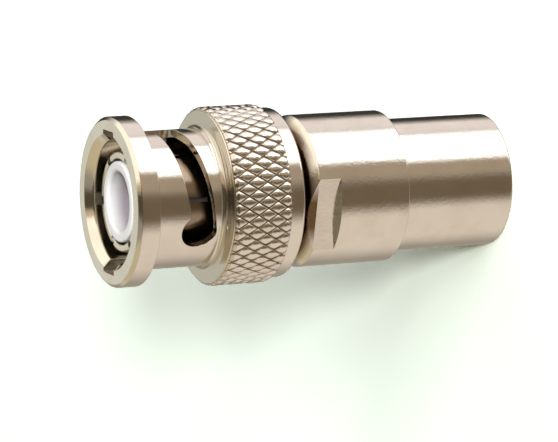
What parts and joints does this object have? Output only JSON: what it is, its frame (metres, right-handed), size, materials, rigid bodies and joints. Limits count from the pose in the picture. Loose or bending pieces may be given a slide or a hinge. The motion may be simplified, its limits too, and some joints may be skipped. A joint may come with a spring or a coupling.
{
  "type": "coaxial adapter, bayonet plug to 9.5 mm aerial socket",
  "caption": "Metal coaxial adapter with a knurled bayonet coupling nut, slotted spring contact and white insulator at one end and a plain round socket barrel at the other.",
  "frame": {"origin": "centre of the socket barrel's rim, which the part stands on", "axes": "+Z along the axis towards the plug, +Y normal to one of the two wrench flats"},
  "size_m": [0.0144, 0.0144, 0.0334],
  "materials": {
    "nickel_plate": "bright nickel plate over fine turning lines",
    "spring_steel": "bare spring steel, stamped",
    "contact_plate": "thin gold-coloured plate",
    "insulator": "white moulded plastic, waxy",
    "gasket": "soft silicone"
  },
  "bodies": {
    "adapter": {"body": "nickel_plate", "outer_contact": "nickel_plate", "front_insulator": "insulator", "centre_pin": "contact_plate", "rear_insulator": "insulator", "socket_contact": "contact_plate", "gasket": "gasket", "wave_washer_front": "spring_steel", "wave_washer_rear": "spring_steel"},
    "washer": {"thrust_washer": "spring_steel"},
    "nut": {"coupling_nut": "nickel_plate", "retaining_ring": "spring_steel"}
  },
  "joints": [
    {"name": "nut_pull", "type": "slide", "parent": "adapter", "child": "washer", "axis": [0, 0, 1], "range_m": [0, 0.0006], "stiffness_N_per_m": 8000, "springref_m": -0.0005, "deforming": ["wave_washer_front", "wave_washer_rear"]},
    {"name": "nut_turn", "type": "hinge", "parent": "washer", "child": "nut", "pos_m": [0, 0, 0.0263], "axis": [0, 0, 1], "continuous": true}
  ]
}
